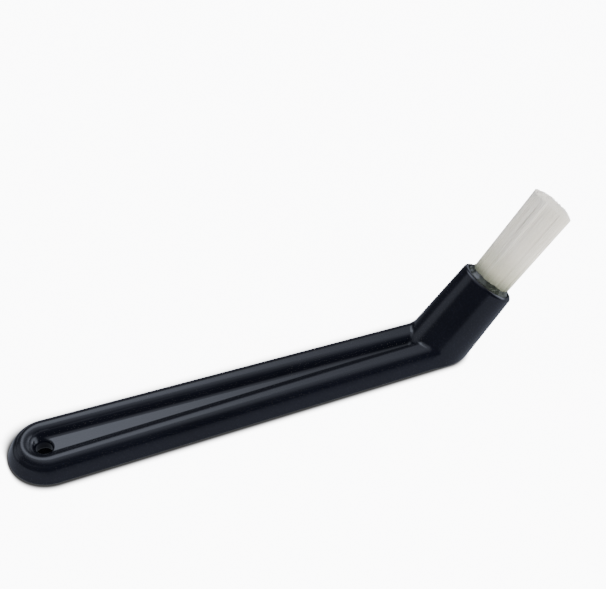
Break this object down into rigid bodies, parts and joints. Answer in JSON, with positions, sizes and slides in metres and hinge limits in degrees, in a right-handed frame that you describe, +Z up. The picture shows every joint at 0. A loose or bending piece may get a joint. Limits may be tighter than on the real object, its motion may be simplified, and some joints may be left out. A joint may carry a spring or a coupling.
{
  "type": "group head brush",
  "caption": "Small cleaning brush with a slim troughed plastic handle, a head bent up at its end and a round bundle of pale nylon bristles.",
  "frame": {"origin": "on the flat underside, on the centre line, half way from the round tail to the elbow", "axes": "+X along the handle from the tail towards the head, +Y across the handle, +Z up out of the trough"},
  "size_m": [0.1417, 0.0178, 0.0426],
  "materials": {
    "handle_plastic": "polished black moulding",
    "bristle_nylon": "natural off-white filament",
    "cured_resin": "clear dark cured resin"
  },
  "bodies": {
    "root": {"handle": "handle_plastic", "bristle_tuft": "bristle_nylon", "socket_adhesive": "cured_resin"}
  },
  "joints": []
}
